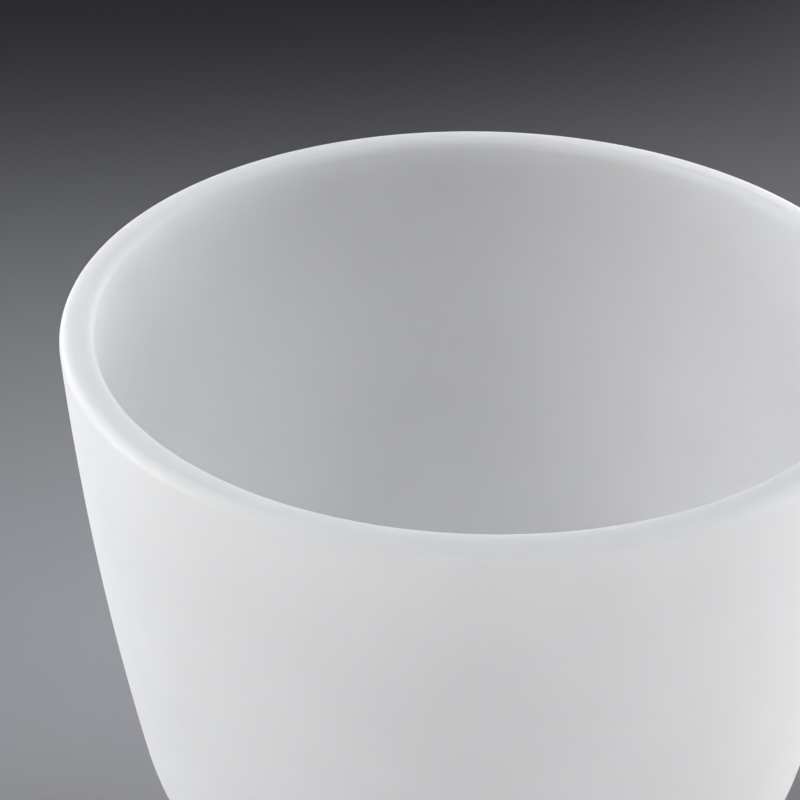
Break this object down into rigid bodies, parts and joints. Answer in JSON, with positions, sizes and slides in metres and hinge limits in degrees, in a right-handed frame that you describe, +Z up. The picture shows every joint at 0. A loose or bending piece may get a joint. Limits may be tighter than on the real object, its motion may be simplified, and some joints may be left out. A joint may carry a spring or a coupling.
{
  "type": "singing bowl",
  "caption": "Frosted quartz singing bowl with tall, gently tapering walls, standing in a rubber ring, with the suede-covered mallet that plays it.",
  "frame": {"origin": "on the bowl's axis, on the flat surface that the ring and the mallet's head lie on", "axes": "+Z up along the bowl's axis and out of its mouth; +X from the bowl towards the mallet; +Y along the mallet from its butt to its head"},
  "size_m": [0.2545, 0.2164, 0.1719],
  "materials": {
    "frosted_quartz": "matte",
    "ring_rubber": "matte",
    "turned_beech": "satin",
    "sleeve_rubber": "matte",
    "suede": "matte",
    "waxed_thread": "satin"
  },
  "bodies": {
    "ring": {"base_ring": "ring_rubber"},
    "bowl": {"bowl": "frosted_quartz"},
    "mallet": {"mallet_handle": "turned_beech", "mallet_sleeve": "sleeve_rubber", "suede_wrap": "suede", "suede_cap": "suede", "thread_binding": "waxed_thread", "seam_stitches": "waxed_thread"}
  },
  "joints": [
    {"name": "bowl_lift", "type": "slide", "parent": "ring", "child": "bowl", "axis": [0, 0, 1], "range_m": [0, 0.2]},
    {"name": "mallet_lift", "type": "slide", "parent": "ring", "child": "mallet", "axis": [0, 0, 1], "range_m": [0, 0.3]}
  ]
}
